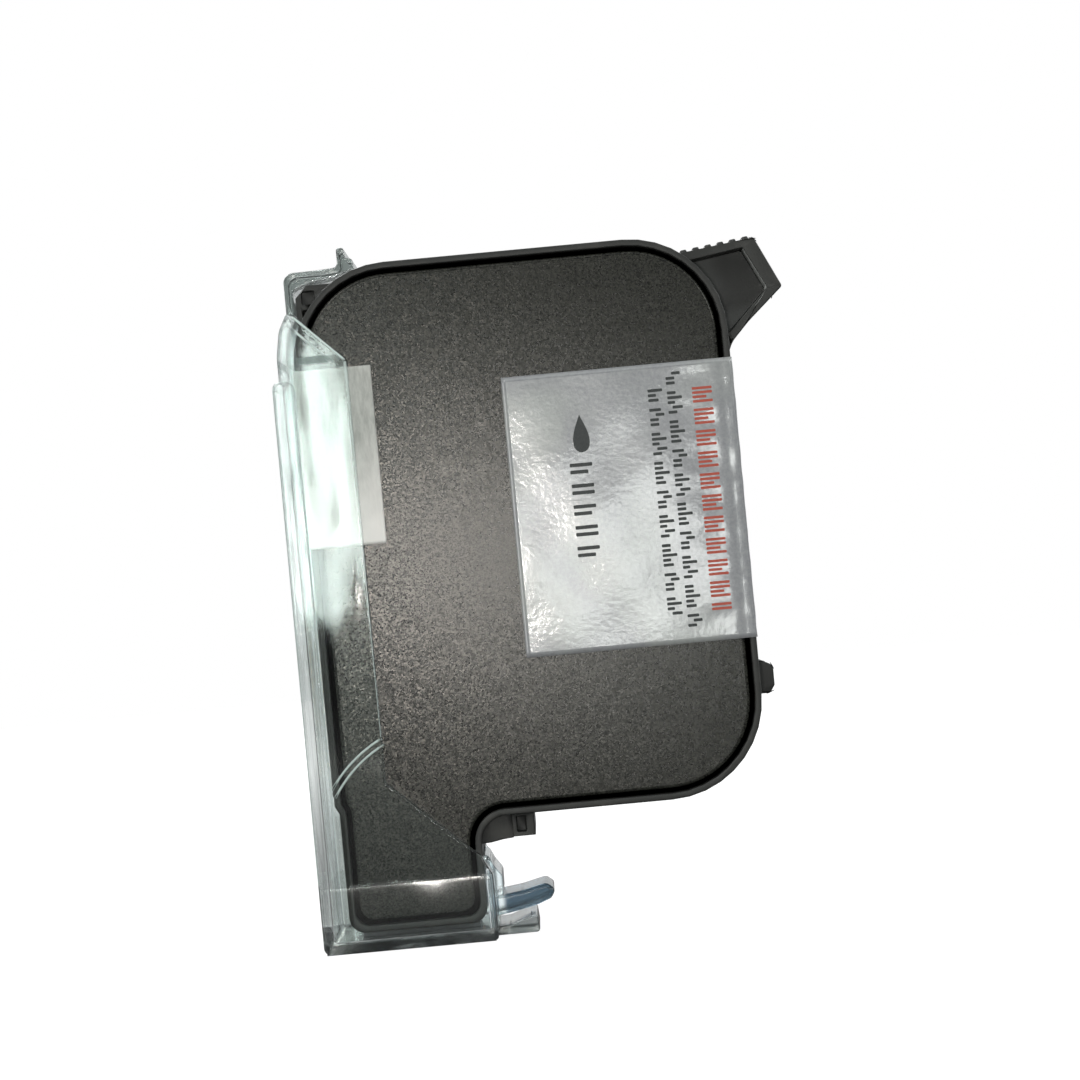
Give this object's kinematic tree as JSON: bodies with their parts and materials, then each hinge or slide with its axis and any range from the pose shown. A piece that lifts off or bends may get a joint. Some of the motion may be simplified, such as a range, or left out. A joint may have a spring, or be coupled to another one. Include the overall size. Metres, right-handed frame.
{
  "type": "thermal inkjet print cartridge with protective clip",
  "caption": "Inkjet cartridge for date coding machines: black frame with finger grip, sunk coated covers, spring bag inside, clear protective clip over contacts and nozzles.",
  "frame": {"origin": "the point of the clip's flat base straight below the centre of the nozzle face, midway through the cartridge's thickness; the nozzle face is 1.9 mm above it", "axes": "+Z from the clip's base up to the top of the cartridge (it prints downwards); +X from the contact wall to the finger grip; Y across the thickness, the near cover faces -Y"},
  "size_m": [0.0595, 0.0272, 0.0812],
  "materials": {
    "frame_plastic": "fine moulded satin black",
    "liner_plastic": "natural translucent",
    "cover_coating": "fine textured dark warm grey with metallic flecks",
    "bag_film": "laminated barrier film",
    "spring_steel": "rolled stainless strip",
    "guard_film": "soft translucent film",
    "polyimide": "amber film with gold plated pads",
    "silicon": "polished",
    "encapsulant": "cured glue",
    "label_film": "glossy pearl film, slightly wrinkled",
    "seal_paper": "matt tissue paper",
    "clear_plastic": "clear moulded polystyrene with a faint cool tint",
    "elastomer": "soft matt"
  },
  "bodies": {
    "cartridge": {"outer_frame": "frame_plastic", "inner_frame": "liner_plastic", "near_side_cover": "cover_coating", "far_side_cover": "cover_coating", "near_bag_film": "bag_film", "far_bag_film": "bag_film", "near_filter_screen": "spring_steel", "far_filter_screen": "spring_steel", "bow_spring": "spring_steel", "fill_port_ball": "spring_steel", "flex_circuit": "polyimide", "printhead_die": "silicon", "contact_side_die_bead": "encapsulant", "grip_side_die_bead": "encapsulant", "side_label": "label_film", "seal_strip": "seal_paper"},
    "near_plate": {"near_piston_plate": "spring_steel", "near_edge_guard": "guard_film"},
    "far_plate": {"far_piston_plate": "spring_steel", "far_edge_guard": "guard_film"},
    "clip": {"clip_shell": "clear_plastic", "nozzle_seal_pad": "elastomer"},
    "top_hook": {"clip_top_hook": "clear_plastic"},
    "release_latch": {"clip_release_latch": "clear_plastic"}
  },
  "joints": [
    {"name": "clip_swing", "type": "hinge", "parent": "cartridge", "child": "clip", "pos_m": [0.008, 0, 0.0088], "axis": [0, -1, 0], "range_deg": [0, 35], "stiffness_Nm_per_rad": 1.5},
    {"name": "top_hook_flex", "type": "hinge", "parent": "clip", "child": "top_hook", "pos_m": [-0.0086, 0, 0.07405], "axis": [0, -1, 0], "range_deg": [0, 10], "stiffness_Nm_per_rad": 0.5},
    {"name": "latch_flex", "type": "hinge", "parent": "clip", "child": "release_latch", "pos_m": [0.0086, 0, 0.00125], "axis": [0, 1, 0], "range_deg": [0, 8], "stiffness_Nm_per_rad": 0.5},
    {"name": "near_plate_slide", "type": "slide", "parent": "cartridge", "child": "near_plate", "axis": [0, 1, 0], "range_m": [0, 0.0065], "stiffness_N_per_m": 60, "springref_m": -0.004, "deforming": ["bow_spring", "near_bag_film", "far_bag_film"]},
    {"name": "far_plate_slide", "type": "slide", "parent": "cartridge", "child": "far_plate", "axis": [0, -1, 0], "range_m": [0, 0.0065], "stiffness_N_per_m": 60, "springref_m": -0.004}
  ],
  "couplings": [
    {"joint": "far_plate_slide", "follows": "near_plate_slide", "ratio": 1}
  ]
}
